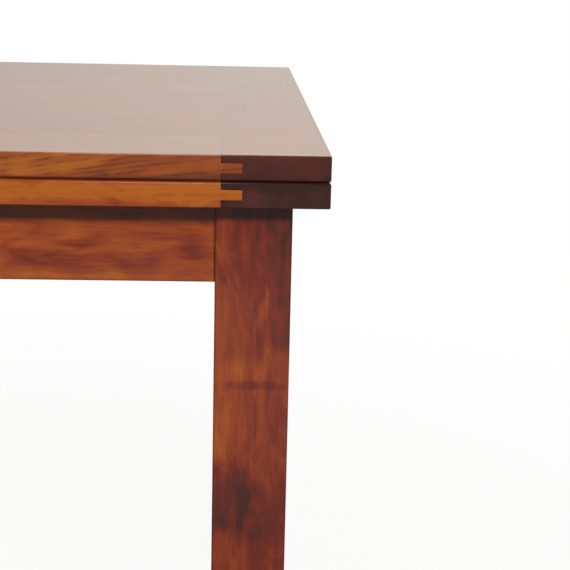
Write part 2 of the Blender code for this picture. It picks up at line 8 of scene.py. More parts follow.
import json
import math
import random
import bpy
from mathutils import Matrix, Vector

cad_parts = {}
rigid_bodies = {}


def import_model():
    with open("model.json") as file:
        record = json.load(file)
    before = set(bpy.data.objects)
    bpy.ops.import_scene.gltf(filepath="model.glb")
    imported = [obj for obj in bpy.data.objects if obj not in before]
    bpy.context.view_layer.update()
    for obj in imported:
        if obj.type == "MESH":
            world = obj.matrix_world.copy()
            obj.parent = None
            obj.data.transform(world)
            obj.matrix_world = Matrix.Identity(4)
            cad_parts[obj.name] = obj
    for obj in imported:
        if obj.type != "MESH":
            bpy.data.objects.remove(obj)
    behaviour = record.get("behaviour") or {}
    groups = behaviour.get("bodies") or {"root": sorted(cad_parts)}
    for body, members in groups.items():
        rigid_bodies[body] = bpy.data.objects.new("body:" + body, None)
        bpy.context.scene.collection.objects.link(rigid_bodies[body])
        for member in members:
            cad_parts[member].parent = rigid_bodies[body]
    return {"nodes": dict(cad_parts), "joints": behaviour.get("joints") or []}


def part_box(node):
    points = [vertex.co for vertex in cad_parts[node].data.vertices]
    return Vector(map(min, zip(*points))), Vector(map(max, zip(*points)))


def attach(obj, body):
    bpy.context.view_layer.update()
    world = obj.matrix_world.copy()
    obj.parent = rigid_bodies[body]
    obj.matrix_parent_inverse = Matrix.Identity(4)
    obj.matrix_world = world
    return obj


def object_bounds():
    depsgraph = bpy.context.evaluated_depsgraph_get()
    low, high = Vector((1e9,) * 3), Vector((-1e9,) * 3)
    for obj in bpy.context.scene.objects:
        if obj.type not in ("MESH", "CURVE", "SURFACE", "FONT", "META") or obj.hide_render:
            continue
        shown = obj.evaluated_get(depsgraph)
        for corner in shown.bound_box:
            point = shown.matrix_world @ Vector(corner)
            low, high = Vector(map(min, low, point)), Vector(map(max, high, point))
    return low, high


bl_info = {
    "name": "Fold-over dining table looks",
    "version": (1, 0, 0),
    "blender": (4, 5, 0),
    "location": "3D View > Sidebar > Table",
    "description": "Finishes the packed dining table, fits its screws and sets a studio stage",
    "category": "Object",
}

from functools import partial

import bmesh
import bpy
from mathutils import Color, Matrix, Vector

for leftover in list(bpy.data.objects):
    bpy.data.objects.remove(leftover, do_unlink=True)
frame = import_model()
CAD_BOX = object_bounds()
NODES = frame["nodes"]
JOINTS = {joint["name"]: joint for joint in frame["joints"]}
MM = 0.001

# Turns that bring a piece's grain onto the X axis of its log
GRAIN_TURNS = {
    "X": (0.0, 0.0, 0.0),
    "Y": (0.0, 0.0, math.radians(-90)),
    "Z": (0.0, math.radians(90), 0.0),
    "XY": (0.0, 0.0, math.radians(-45)),
    "YX": (0.0, 0.0, math.radians(45)),
}
# Marks in a lens: how much each one shifts the tone, and the reach over which it fades. Most are patches
# in the wood's figure; some on the leaves paint shade along the edges at the gap between the leaves, and a
# highlight along the upper breadboard's top edge.
MARKS = {
    "knot": (-0.19, 1.25, 0.35),
    "heart": (-0.34, 1.20, 0.65),
    "smoke": (-0.26, 1.40, 0.20),
    "shade": (-0.30, 1.45, 0.10),
    "dusk": (-0.26, 1.45, 0.10),
    "flame": (0.20, 1.40, 0.15),
    "glow": (0.16, 1.40, 0.20),
    "ember": (0.12, 1.40, 0.20),
}
# A mark far away from the table, for pieces without it
NO_MARK = ((0, 0, -9000), (10, 10, 10))
# Pieces whose cut from the log is chosen. All others get one from their own name.
# A mark is the middle and the half size of a lens, in mm, at the piece's place in the closed table.
CHOSEN_CUTS = {
    "leg_front_right": {
        "cut": (0.31, 0.055, 0.020), "tone": 0.50, "figure": 0.15,
        "knot": ((383, -416, 523.6), (46, 20, 5.8)),
        "heart": ((337, -416, 412), (42, 50, 40)),
        "smoke": ((405, -416, 360), (44, 50, 62)),
        "glow": ((374, -416, 539), (26, 30, 13)),
        "ember": ((364, -416, 346), (22, 30, 22)),
        "shade": ((404, -416, 700), (68, 60, 80)),
        "dusk": ((414, -416, 624), (25, 60, 110)),
        "flame": ((348, -416, 490), (20, 30, 108)),
    },
    "apron_front": {
        "cut": (0.10, 0.040, 0.090), "tone": 0.64, "figure": 0.15,
        "smoke": ((317, -409, 662), (18, 20, 11)),
        "shade": ((230, -382, 650), (130, 25, 30)),
        "flame": ((200, -409, 632), (140, 30, 9)),
        "dusk": ((168, -399, 660), (48, 25, 14)),
    },
    "upper_leaf_board_1": {
        "cut": (0.20, 0.030, 0.060), "tone": 0.75, "figure": 1.0, "lean": (0.0, 0.0, -0.14), "brown": 0.17,
        "knot": ((193.8, -450, 745.5), (1.1, 10, 7.5)),
        "shade": ((300, -450, 747), (85, 20, 26)),
        # Painted shade: darker along the front's lower edge, at the gap between the leaves
        "smoke": ((240, -450, 735), (300, 20, 6)),
    },
    "upper_leaf_breadboard_right": {
        "cut": (0.50, 0.020, 0.050), "tone": 0.58, "figure": 0.3,
        # Painted shade along the front's lower edge, at the gap between the leaves
        "shade": ((398, -450, 735), (90, 20, 7)),
        # Painted highlight along the front's top edge
        "glow": ((398, -450, 759.5), (90, 20, 4)),
    },
    "lower_leaf_board_1": {
        "cut": (0.70, 0.050, 0.110), "tone": 0.93, "figure": 0.2,
        # Darker along the front's bottom edge, and painted shade along its top edge at the gap between the
        # leaves
        "shade": ((240, -450, 709.4), (300, 20, 8)),
        "smoke": ((240, -450, 735), (300, 20, 4)),
    },
    "lower_leaf_board_2": {"tone": 0.76},
    "lower_leaf_board_3": {"tone": 0.64},
    "lower_leaf_breadboard_right": {
        "cut": (0.90, 0.080, 0.070), "tone": 0.27, "figure": 0.3,
        "glow": ((376, -450, 720), (12, 20, 11)),
        "flame": ((376, -450, 718), (16, 20, 14)),
        # Painted shade along the front's top edge, at the gap between the leaves
        "shade": ((398, -450, 734.4), (90, 20, 9)),
    },
}
# How near wood must be for the occlusion that darkens narrow joints and inner corners, with joint stain and
# painted shade
LEAF_SHELTER = 5 * MM
FRAME_SHELTER = 2 * MM

# Hairline joints of a leaf, and their filling: how far it keeps from the wood, the leaf's face and
# its front and back edge, and how deep it goes
JOINT_GAP = 0.3 * MM
FILLING_PLAY = 0.02 * MM
FILLING_DROP = 0.03 * MM
FILLING_SETBACK = 2.5 * MM
FILLING_DEPTH = 1.5 * MM

# Dried glue: a bead's least and greatest width in mm, how far its hollow face stands out, its rows
# and its play at the apron's edges
BEAD_WIDTHS = (1.0, 1.9)
BEAD_HOLLOW = 0.32
BEAD_ROWS = 14
BEAD_PLAY = 0.05 * MM
# Glue in the gap at a tenon's shoulder, between an apron's edge and its tenon
SHOULDER_GAP = 0.3 * MM
PAD_START = 0.2 * MM
PAD_END = 5.8 * MM

# Where screws sit: in from a hinge plate's ends and in front of its pivot, in from a runner's inner
# face and along it, in from a brace's ends and up it
HINGE_SCREW_INSET = 7 * MM
HINGE_SCREW_ROWS = (23 * MM, 13.5 * MM)
RUNNER_SCREW_INSET = 9 * MM
RUNNER_SCREW_SHARES = (0.12, 0.5, 0.88)
BRACE_SCREW_INSET = 20 * MM
BRACE_SCREW_SHARES = (0.25, 0.75)

# Lamps: place, target, width with height, and linear colour
LAMPS = {
    "key_light": ((0.80, -3.02, 2.15), (0.3, -0.4, 0.55), (1.2, 0.38), (1.0, 0.985, 0.96)),
    "top_light": ((0.18, -0.73, 2.6), (0.27, -0.45, 0.75), (0.35, 0.2), (0.90, 0.95, 1.0)),
}
# Brightness of the room by the sine of the height above level
ROOM_RISE = ((0.0, 0.56), (0.14, 0.63), (0.28, 0.90), (0.42, 0.90), (0.75, 0.45))
WHITE = (1.0, 1.0, 1.0, 1.0)
FLOOR_RADIUS = 14.0
FLOOR_DROP = 0.2 * MM


def linear(hex_colour):
    """An sRGB hex colour as the linear values that shaders take."""
    parts = [int(hex_colour[place:place + 2], 16) / 255 for place in (1, 3, 5)]
    return tuple(c / 12.92 if c <= 0.04045 else ((c + 0.055) / 1.055) ** 2.4 for c in parts)


def put(tree, kind, *values, **settings):
    """Add a node with its settings. Values, colours or links fill its inputs in order, or by a dict's names.

    A kind without the word Node is a shader node. A map range takes its value, where that starts and
    ends, and what it gives there.
    """
    node = tree.nodes.new(kind if "Node" in kind else f"ShaderNode{kind}")
    for name, value in settings.items():
        setattr(node, name, value)
    by_name = values and isinstance(values[0], dict)
    inputs = values[0] if by_name else dict(enumerate(values))
    for socket, value in inputs.items():
        if isinstance(value, bpy.types.Node):
            value = value.outputs[0]
        if isinstance(value, bpy.types.NodeSocket):
            tree.links.new(value, node.inputs[socket])
        else:
            node.inputs[socket].default_value = (*value, 1.0) if isinstance(value, Color) else value
    return node


def new_material(name):
    """An empty node material, and what adds a node to it."""
    material = bpy.data.materials.new(name)
    material.use_nodes = True
    material.node_tree.nodes.clear()
    return material, partial(put, material.node_tree)


def material_once(name, make, *values):
    """A material by its name, made at its first use."""
    return bpy.data.materials.get(name) or make(name, *values)


def set_stops(ramp, stops):
    """Give a colour ramp its (place, linear colour) stops."""
    elements = ramp.color_ramp.elements
    while len(elements) < len(stops):
        elements.new(1.0)
    for element, (place, colour) in zip(elements, stops):
        element.position = place
        element.color = (*colour, 1.0)


def dress(piece, material):
    """Make a material the only one on a piece."""
    piece.data.materials.clear()
    piece.data.materials.append(material)


def cut_from_log(piece):
    """Give a wooden piece its own place, tone, figure and marks, some of them painted shade or highlight."""
    own = random.Random(piece.name)
    traits = {
        "cut": (own.uniform(0, 9), own.uniform(-0.06, 0.06), own.uniform(0.03, 0.10)),
        "lean": (0.0, own.uniform(-0.03, 0.03), own.uniform(-0.03, 0.03)),
        "tone": own.uniform(0.46, 0.68),
        "figure": own.uniform(0.2, 0.6),
        "brown": 0.0,
    }
    traits |= dict.fromkeys(MARKS, NO_MARK) | CHOSEN_CUTS.get(piece.name, {})
    for name, value in traits.items():
        if name in MARKS:
            place, size = value
            value = [part * MM for part in place]
            piece[f"{name}_size"] = [part * MM for part in size]
        piece[name] = value


def shade_round(piece):
    """Shade a CAD node's curved faces smooth, with modifiers only."""
    weld = piece.modifiers.new("weld", "WELD")
    weld.merge_threshold = 0.001 * MM
    smooth = piece.modifiers.new("smooth_by_angle", "NODES")
    smooth.node_group = bpy.data.node_groups.get("smooth_by_angle") or smooth_by_angle("smooth_by_angle", 32)


def smooth_by_angle(name, limit):
    """A geometry node group that shades a mesh smooth, and keeps edges above an angle in degrees sharp."""
    group = bpy.data.node_groups.new(name, "GeometryNodeTree")
    add = partial(put, group)
    for way in ("INPUT", "OUTPUT"):
        group.interface.new_socket("Geometry", in_out=way, socket_type="NodeSocketGeometry")
    start = add("NodeGroupInput")
    plain = add("GeometryNodeRemoveAttribute", {"Geometry": start, "Name": "custom_normal"})
    smooth = add("GeometryNodeSetShadeSmooth", {"Geometry": plain}, domain="FACE")
    bend = add("GeometryNodeInputMeshEdgeAngle")
    sharp = add("FunctionNodeCompare", bend, math.radians(limit), data_type="FLOAT", operation="GREATER_THAN")
    creased = add("GeometryNodeSetShadeSmooth",
                  {"Geometry": smooth, "Selection": sharp, "Shade Smooth": False}, domain="EDGE")
    add("NodeGroupOutput", creased)
    return group


def into_log(add, grain):
    """A piece's coordinates, the same turned with the grain along X, and its own place in the log."""
    where = add("TexCoord")
    turned = add("Mapping", {"Vector": where.outputs["Object"], "Rotation": GRAIN_TURNS[grain]})
    cut = add("Attribute", attribute_type="OBJECT", attribute_name="cut")
    log = add("VectorMath", turned, cut.outputs["Vector"], operation="ADD")
    return where, turned, log


def swaying_grain(add, turned, log):
    """Grain that leans, and grain that sways too, in swings of 50 mm across and 230 mm along the log."""
    lean = add("Attribute", attribute_type="OBJECT", attribute_name="lean")
    run = add("SeparateXYZ", turned)
    leaned = add("VectorMath", lean.outputs["Vector"], run.outputs["X"], log, operation="MULTIPLY_ADD")
    long_way = add("VectorMath", leaned, (0.22, 1.0, 1.0), operation="MULTIPLY")
    swing = add("TexNoise", {"Vector": long_way, "Scale": 1 / (50 * MM), "Detail": 2.0})
    centred = add("VectorMath", swing.outputs["Color"], (0.5, 0.5, 0.5), operation="SUBTRACT")
    swayed = add("VectorMath", centred, (0.0, 22 * MM, 22 * MM), leaned, operation="MULTIPLY_ADD")
    return leaned, swayed


def late_wood(add, swayed, ring_width):
    """Growth rings: a dark line at the end of each year."""
    cross = add("VectorMath", swayed, (0.0, 1.0, 1.0), operation="MULTIPLY")
    radius = add("VectorMath", cross, operation="LENGTH")
    years = add("Math", radius.outputs["Value"], ring_width, operation="DIVIDE")
    season = add("Math", years, operation="FRACT")
    late = add("MapRange", season, 0.50, 0.90, interpolation_type="SMOOTHSTEP")
    winter = add("MapRange", season, 1.0, 0.92)
    return add("Math", late, winter, operation="MULTIPLY")


def lens_mask(add, where, mark, ragged, outside, inside):
    """How far a point is inside the lens of a mark that a piece's own properties place, from 0 to 1."""
    middle = add("Attribute", attribute_type="OBJECT", attribute_name=mark)
    size = add("Attribute", attribute_type="OBJECT", attribute_name=f"{mark}_size")
    away = add("VectorMath", where.outputs["Object"], middle.outputs["Vector"], operation="SUBTRACT")
    scaled = add("VectorMath", away, size.outputs["Vector"], operation="DIVIDE")
    reach = add("VectorMath", scaled, operation="LENGTH")
    edge = add("Math", reach.outputs["Value"], ragged, operation="ADD")
    return add("MapRange", edge, outside, inside, interpolation_type="SMOOTHSTEP")


def stained_acacia(name, grain, wood, eased, sheltered):
    """Acacia, planed, chestnut-stained and lacquered satin, with its grain along one direction.

    The stain sits dark in pores and end grain and thin on the arrises, so the eye gets
    a mottled red-brown with orange flashes, dark end grain and rubbed, lighter edges.
    """
    material, add = new_material(name)
    where, turned, log = into_log(add, grain)
    leaned, swayed = swaying_grain(add, turned, log)
    ring = late_wood(add, swayed, wood.ring_width)
    own = {}
    for trait in ("tone", "figure", "brown"):
        own[trait] = add("Attribute", attribute_type="OBJECT", attribute_name=trait).outputs["Fac"]

    # Noises along the grain: their source, stretch, width and looks. Fibres are 1.8 mm wide where real
    # ones are 0.1 mm, and pores 1.2 mm wide and 14 mm long where real ones are 0.2 mm by 3 mm.
    noises = {}
    for kind, source, stretch, width, looks in (
        ("fibre", leaned, 0.035, wood.fibre_width, {"Detail": 4.0}),
        ("blotch", swayed, 0.40, wood.blotch_width, {"Detail": 4.0, "Roughness": 0.6, "Distortion": 0.9}),
        ("cloud", swayed, 0.40, 110 * MM, {"Detail": 2.0}),
        ("streak", swayed, 0.09, 6 * MM, {"Detail": 2.0}),
        ("speck", leaned, 0.085, 1.2 * MM, {"Detail": 1.0}),
    ):
        stretched = add("VectorMath", source, (stretch, 1.0, 1.0), operation="MULTIPLY")
        noises[kind] = add("TexNoise", {"Vector": stretched, "Scale": 1 / width, **looks})
    fibre, blotch, cloud, streak, speck = noises.values()
    pore = add("MapRange", speck, 0.62, 0.78)

    # Level faces get more coats of stain and lacquer, which calm their figure
    upright = add("SeparateXYZ", where.outputs["Normal"])
    level = add("Math", upright.outputs["Z"], operation="ABSOLUTE")
    levelled = (level, 0.5, 0.9)
    calm = add("MapRange", *levelled, 1.0, 0.40)

    # Ring lines show in patches
    lines = add("MapRange", blotch, 0.60, 0.36)
    for share in (own["figure"], ring, calm):
        lines = add("Math", lines, share, operation="MULTIPLY")

    # One tone from all of these, dark at 0 and amber at 1
    layers = [(cloud, 0.5, 0.5), (lines, 0.28, -0.15)]
    for source, weight in ((blotch, 0.75), (streak, 0.40), (fibre, 0.2)):
        shift = add("Math", source, 0.5, operation="SUBTRACT")
        layers.append((add("Math", shift, calm, operation="MULTIPLY"), 0.0, weight))
    ragged = add("Math", blotch, 1.2, -0.6, operation="MULTIPLY_ADD")
    # Lenses: patches in the wood, and on some leaf pieces painted shade or a painted highlight
    for mark, (weight, outside, inside) in MARKS.items():
        layers.append((lens_mask(add, where, mark, ragged, outside, inside), 0.0, weight))
    tone = own["tone"]
    for source, middle, weight in layers:
        shift = add("Math", source, middle, operation="SUBTRACT")
        tone = add("Math", shift, weight, tone, operation="MULTIPLY_ADD")
    face = add("ValToRGB", tone)
    set_stops(face, [(0.06, wood.stain_dark), (0.38, wood.stain_red),
                     (0.66, wood.stain_orange), (0.96, wood.stain_amber)])
    tint = add("Math", own["brown"], calm, operation="MULTIPLY")

    # End grain drinks the stain, and pores hold it in long grain
    facing = add("Mapping", {"Vector": where.outputs["Normal"], "Rotation": GRAIN_TURNS[grain]},
                 vector_type="NORMAL")
    side = add("SeparateXYZ", facing)
    square = add("Math", side.outputs["X"], operation="ABSOLUTE")
    end = add("MapRange", square, 0.35, 0.75)
    end_grain = add("ValToRGB", tone)
    set_stops(end_grain, [(0.15, wood.end_dark), (0.85, wood.end_light)])
    long_grain = add("Math", 1.0, end, operation="SUBTRACT")
    filled = pore
    for share in (long_grain, calm, 0.35):
        filled = add("Math", filled, share, operation="MULTIPLY")

    # Edges eased by hand on upright faces, and left nearly sharp on level ones, where boards meet
    easing = add("MapRange", *levelled, eased, wood.joint_radius)
    rounded = add("Bevel", easing, samples=6)

    # Narrow joints and inner corners darken by occlusion, as joint stain and dust and as painted shade, and
    # open arrises are rubbed back to a lighter stain
    shelter = add("AmbientOcclusion", {"Distance": sheltered}, samples=6).outputs["AO"]
    joint_stain_and_shade = add("MapRange", shelter, 0.78, 0.40, 0.0, 0.9)
    in_the_open = add("MapRange", shelter, 0.80, 0.95, 0.0, 0.5)
    flat = add("NewGeometry")
    bend = add("VectorMath", rounded, flat.outputs["Normal"], operation="DOT_PRODUCT")
    rubbed = add("MapRange", bend.outputs["Value"], 0.92, 0.72)
    for share in (blotch, in_the_open):
        rubbed = add("Math", rubbed, share, operation="MULTIPLY")

    # Colours over each other, from the wood outwards. A colour mix has them at 6 and 7, its result at 2.
    colour = face.outputs[0]
    for share, over in (
        (lines, wood.stain_dark),
        (tint, wood.stain_brown),
        (end, end_grain),
        (filled, wood.stain_dark),
        (rubbed, wood.stain_orange),
        (joint_stain_and_shade, wood.joint_stain_and_shade),
    ):
        colour = add("Mix", {0: share, 6: colour, 7: over}, data_type="RGBA").outputs[2]

    # Satin lacquer sinks a little into fibres and pores
    satin = add("Math", fibre, 0.06, wood.lacquer_roughness - 0.03, operation="MULTIPLY_ADD")
    sunk = add("Math", pore, 0.06, satin, operation="MULTIPLY_ADD")
    relief = add("Math", pore, -0.7, fibre, operation="MULTIPLY_ADD")
    bump = add("Bump", {"Height": relief, "Strength": 0.04, "Distance": 0.3 * MM, "Normal": rounded})
    shader = add("BsdfPrincipled", {
        "Base Color": colour, "Roughness": sunk, "Normal": bump, "IOR": 1.5,
        "Coat Weight": 1.0, "Coat Roughness": 0.15, "Coat IOR": 1.5,
    })
    add("OutputMaterial", shader)
    return material


def planed_hardwood(name, grain, wood):
    """Bare hardwood straight from the planer: pale, matt, with open grain and knife marks."""
    material, add = new_material(name)
    log = into_log(add, grain)[-1]
    broad = add("VectorMath", log, (0.12, 1.0, 1.0), operation="MULTIPLY")
    band = add("TexNoise", {"Vector": broad, "Scale": 1 / (9 * MM), "Detail": 3.0, "Distortion": 0.8})
    fine = add("VectorMath", log, (0.05, 1.0, 1.0), operation="MULTIPLY")
    fibre = add("TexNoise", {"Vector": fine, "Scale": 1 / wood.fibre_width, "Detail": 4.0})
    tone = add("Mix", {"Factor": 0.4, "A": band, "B": fibre})
    colour = add("ValToRGB", tone)
    set_stops(colour, [(0.30, wood.bare_dark), (0.70, wood.bare_light)])

    # Planer knife marks, 4 mm apart where real ones are 1.5 mm
    marks = add("TexWave", {"Vector": log, "Scale": math.tau / 20 / (4 * MM), "Distortion": 0.6},
                wave_type="BANDS", bands_direction="X", wave_profile="SIN")
    relief = add("Math", marks, 0.25, fibre, operation="MULTIPLY_ADD")
    bump = add("Bump", {"Height": relief, "Strength": 0.25, "Distance": 0.3 * MM})
    rough = add("Math", fibre, 0.2, 0.50, operation="MULTIPLY_ADD")
    shader = add("BsdfPrincipled", {"Base Color": colour, "Roughness": rough, "Normal": bump, "IOR": 1.5})
    add("OutputMaterial", shader)
    return material


def mottled(name, colour, noise, shades, rough, relief, looks):
    """A surface whose noise varies its colour, relief and, by a span above a least value, roughness."""
    material, add = new_material(name)
    where = add("TexCoord")
    grit = add("TexNoise", {"Vector": where.outputs["Object"], **noise})
    ramp = add("ValToRGB", grit)
    set_stops(ramp, [(place, [c * share for c in colour]) for place, share in shades])
    if rough:
        span, least = rough
        looks["Roughness"] = add("Math", grit, span, least, operation="MULTIPLY_ADD")
    strength, height = relief
    bump = add("Bump", {"Height": grit, "Strength": strength, "Distance": height})
    shader = add("BsdfPrincipled", {"Base Color": ramp, "Normal": bump, **looks})
    add("OutputMaterial", shader)
    return material


def pressed_felt(name, colour):
    """Pressed wool felt: dark, without gloss, with a soft nap of tangled hairs."""
    # Hairs 1.2 mm wide where real ones are 0.02 mm
    hairs = {"Scale": 1 / (1.2 * MM), "Detail": 5.0, "Roughness": 0.7, "Distortion": 2.0}
    looks = {"Roughness": 0.95, "IOR": 1.5, "Sheen Weight": 0.3, "Sheen Roughness": 0.5}
    return mottled(name, colour, hairs, ((0.30, 0.6), (0.70, 1.5)), None, (0.6, 0.4 * MM), looks)


def moulded_nylon(name, colour):
    """Moulded black nylon: even colour, a dull shine and a fine spark-eroded texture."""
    # Texture 0.6 mm wide where the real one is 0.1 mm
    grit = {"Scale": 1 / (0.6 * MM), "Detail": 3.0}
    shades = ((0.35, 0.8), (0.65, 1.3))
    return mottled(name, colour, grit, shades, (0.2, 0.36), (0.2, 0.1 * MM), {"IOR": 1.53})


def dried_glue(name, colour):
    """White wood glue, squeezed out and dried clear: amber, glossy and uneven."""
    lumps = {"Scale": 1 / (4 * MM), "Detail": 3.0}
    shades = ((0.3, 0.7), (0.7, 1.0))
    return mottled(name, colour, lumps, shades, (0.25, 0.15), (0.3, 0.4 * MM), {"IOR": 1.47})


def worked_metal(name, colour, tarnish, lines_along):
    """Metal that was drawn and polished one way: fine lines along that way, dull and stained in patches."""
    material, add = new_material(name)
    where = add("TexCoord").outputs["Object"]
    stretched = add("VectorMath", where, lines_along, operation="MULTIPLY")
    # Polishing lines 0.4 mm apart where real ones are 0.05 mm
    line = add("TexNoise", {"Vector": stretched, "Scale": 1 / (0.4 * MM), "Detail": 3.0})
    cloud = add("TexNoise", {"Vector": where, "Scale": 1 / (7 * MM), "Detail": 4.0})
    stain = add("MapRange", cloud, 0.45, 0.80, 0.0, 0.6)
    shades = add("Mix", {0: stain, 6: colour, 7: tarnish}, data_type="RGBA")
    rough = add("Math", line, 0.2, 0.2, operation="MULTIPLY_ADD")
    dull = add("Math", stain, 0.25, rough, operation="MULTIPLY_ADD")
    rounded = add("Bevel", 0.25 * MM, samples=6)
    bump = add("Bump", {"Height": line, "Strength": 0.08, "Distance": 0.05 * MM, "Normal": rounded})
    shader = add("BsdfPrincipled",
                 {"Base Color": shades.outputs[2], "Metallic": 1.0, "Roughness": dull, "Normal": bump})
    add("OutputMaterial", shader)
    return material


def hinge_brass(metal):
    """Brass, rolled and polished along the hinge: warm, with fine lines, browner where it has tarnished."""
    colours = metal.brass, metal.brass_tarnish
    return material_once("polished_rolled_brass", worked_metal, *colours, (0.03, 1, 1))


def screw_steel(metal):
    """Steel, turned and zinc-plated: pale and cool, with fine rings, duller where the plating has aged."""
    colours = metal.steel, metal.steel_stain
    return material_once("turned_zinc_plated_steel", worked_metal, *colours, (1, 0.1, 0.1))


def matching(*starts):
    """The CAD nodes whose names start in one of these ways."""
    found = [node for name, node in sorted(NODES.items()) if name.startswith(starts)]
    if not found:
        raise RuntimeError(f"the frame has no node that starts with {starts}")
    return found


def corner_of_plan(name, pick):
    """The corner of a node's box, from above, nearest to the table's middle (min) or furthest (max)."""
    low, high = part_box(name)
    return Vector((pick(low.x, high.x, key=abs), pick(low.y, high.y, key=abs), 0))


def finish_wood(material, *starts):
    """Give the CAD nodes whose names start so a wood, each cut from its own place in the log."""
    for node in matching(*starts):
        cut_from_log(node)
        dress(node, material)


def new_piece(name, shape, material, body, sharp):
    """Turn a shape into a piece that rides on a body, smooth but for edges above a sharp angle in degrees."""
    mesh = bpy.data.meshes.new(name)
    shape.to_mesh(mesh)
    shape.free()
    mesh.shade_smooth()
    mesh.set_sharp_from_angle(angle=math.radians(sharp))
    mesh.materials.append(material)
    piece = bpy.data.objects.new(name, mesh)
    bpy.context.collection.objects.link(piece)
    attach(piece, body)
    return piece


def thin_pad(shape, start, end):
    """A thin pad between two opposite corners, to fill a narrow gap."""
    size = [abs(end[axis] - start[axis]) for axis in range(3)]
    place = Matrix.Translation((start + end) / 2) @ Matrix.Diagonal((*size, 1.0))
    bmesh.ops.create_cube(shape, size=1.0, matrix=place)


def glue_bead(shape, corner, one_way, other_way, bottom, top, own):
    """A hollow-faced bead up an inner corner, a little uneven in width."""
    rings = []
    for row in range(BEAD_ROWS + 1):
        height = Vector((0, 0, bottom + (top - bottom) * row / BEAD_ROWS))
        width = own.uniform(*BEAD_WIDTHS) * MM
        hollow = (one_way + other_way) * width * BEAD_HOLLOW
        outline = [Vector(), one_way * width, hollow, other_way * width]
        rings.append([shape.verts.new(corner + height + point) for point in outline])
    for lower, upper in zip(rings, rings[1:]):
        for here in range(4):
            there = (here + 1) % 4
            shape.faces.new((lower[here], lower[there], upper[there], upper[here]))
    shape.faces.new(rings[0])
    shape.faces.new(rings[-1])
    bmesh.ops.recalc_face_normals(shape, faces=shape.faces)


def countersunk_head(radius, shank_radius):
    """Profile of a head flush in its countersink, from its middle to the shank, and its slot's depth."""
    sink, face, rim = radius - shank_radius, -0.10 * MM, -0.25 * MM
    return [(0.0, face), (0.94 * radius, face), (radius, rim), (shank_radius, -sink)], 0.5 * sink


def domed_head(radius, shank_radius):
    """Profile of a domed head on the wood, from its middle to the shank, and its recess's depth."""
    rise = 0.62 * radius
    turns = (0.3, 0.6, 0.9, 1.2, math.pi / 2)
    dome = [(radius * math.sin(turn), rise * (0.15 + 0.85 * math.cos(turn))) for turn in turns]
    return [(0.0, rise), *dome, (radius, 0.0), (shank_radius, 0.0)], 0.6 * rise


def screw_body(profile, shank_radius, length):
    """Head, shank, core and point on Z, with a thread that is wound round the core."""
    # The thread runs from 0.35 to 0.92 of the length, and the core is 0.70 of the shank
    start, pitch, steps = -0.35 * length, 1.3 * shank_radius, 12
    core = 0.70 * shank_radius
    turns = int((length * 0.92 + start) / pitch)
    turned = [*profile, (shank_radius, start), (core, start - 0.2 * pitch),
              (core, start - turns * pitch), (0.0, -length)]
    foot = 0.95 * core
    ridge = [(foot, start - 0.25 * pitch), (shank_radius, start - 0.5 * pitch), (foot, start - 0.75 * pitch)]
    winds = turns - 1
    shape = bmesh.new()
    for outline, rounds, count, drop in ((turned, 1, 24, 0.0), (ridge, winds, winds * steps, -pitch / steps)):
        points = [shape.verts.new((r, 0.0, z)) for r, z in outline]
        closed = outline is ridge
        edges = [shape.edges.new(pair) for pair in zip(points, points[1:] + points[:closed])]
        wound = bmesh.ops.spin(shape, geom=points + edges, cent=(0, 0, 0), axis=(0, 0, 1), dvec=(0, 0, drop),
                               steps=count, angle=math.tau * rounds)
        if closed:
            shape.faces.new(points)
            shape.faces.new([vert for vert in wound["geom_last"] if isinstance(vert, bmesh.types.BMVert)])
    bmesh.ops.remove_doubles(shape, verts=shape.verts, dist=0.001 * MM)
    return shape


def screw_shape(head, shank_radius, length, arms, slot):
    """A wood screw, seated at the origin with its point down -Z, and a slot of one arm or a cross of two."""
    profile, depth = head
    shape = screw_body(profile, shank_radius, length)
    # Recess: the part of the head's face between cuts goes down
    wide, reach = slot[0] / 2, slot[1] / 2
    for axis in (Vector((1, 0, 0)), Vector((0, 1, 0))):
        for cut in (-reach, -wide, wide, reach):
            everything = shape.verts[:] + shape.edges[:] + shape.faces[:]
            bmesh.ops.bisect_plane(shape, geom=everything, dist=1e-7, plane_co=axis * cut, plane_no=axis)
    shape.normal_update()
    floor = []
    for face in shape.faces:
        middle = face.calc_center_median()
        across, along = abs(middle.x), abs(middle.y)
        in_arm = (across < wide and along < reach) or (arms == 2 and along < wide and across < reach)
        if in_arm and face.normal.z > 0.2 and middle.z > -0.3 * MM:
            floor.append(face)
    pushed = bmesh.ops.extrude_face_region(shape, geom=floor)["geom"]
    bmesh.ops.delete(shape, geom=floor, context="FACES_ONLY")
    bottom = [vert for vert in pushed if isinstance(vert, bmesh.types.BMVert)]
    bmesh.ops.translate(shape, vec=(0, 0, -depth), verts=bottom)
    bmesh.ops.recalc_face_normals(shape, faces=shape.faces)
    return shape


def hinge_screw(metal):
    """What screw_shape needs for a slotted screw with a countersunk head."""
    radius = metal.hinge_screw_head / 2
    slot = (metal.slot_share * radius * 2, radius * 4)
    return countersunk_head(radius, radius / 2), radius / 2, metal.hinge_screw_length, 1, slot


def frame_screw(metal, length):
    """What screw_shape needs for a cross-recess screw with a domed head."""
    radius = metal.frame_screw_head / 2
    slot = (metal.slot_share * radius * 2, radius * 1.15)
    return domed_head(radius, radius / 2), radius / 2, length, 2, slot


def fit_screws(name, places, body, material, screw):
    """One piece of like screws, each at a place and pointing along an axis into the wood."""
    own = random.Random(name)
    together = bmesh.new()
    for place, inward in places:
        single = bpy.data.meshes.new("screw")
        shape = screw_shape(*screw)
        aim = Vector(inward).to_track_quat("-Z", "Y").to_matrix().to_4x4()
        shape.transform(Matrix.Translation(place) @ aim @ Matrix.Rotation(own.uniform(0, math.tau), 4, "Z"))
        shape.to_mesh(single)
        shape.free()
        together.from_mesh(single)
        bpy.data.meshes.remove(single)
    new_piece(name, together, material, body, sharp=35)


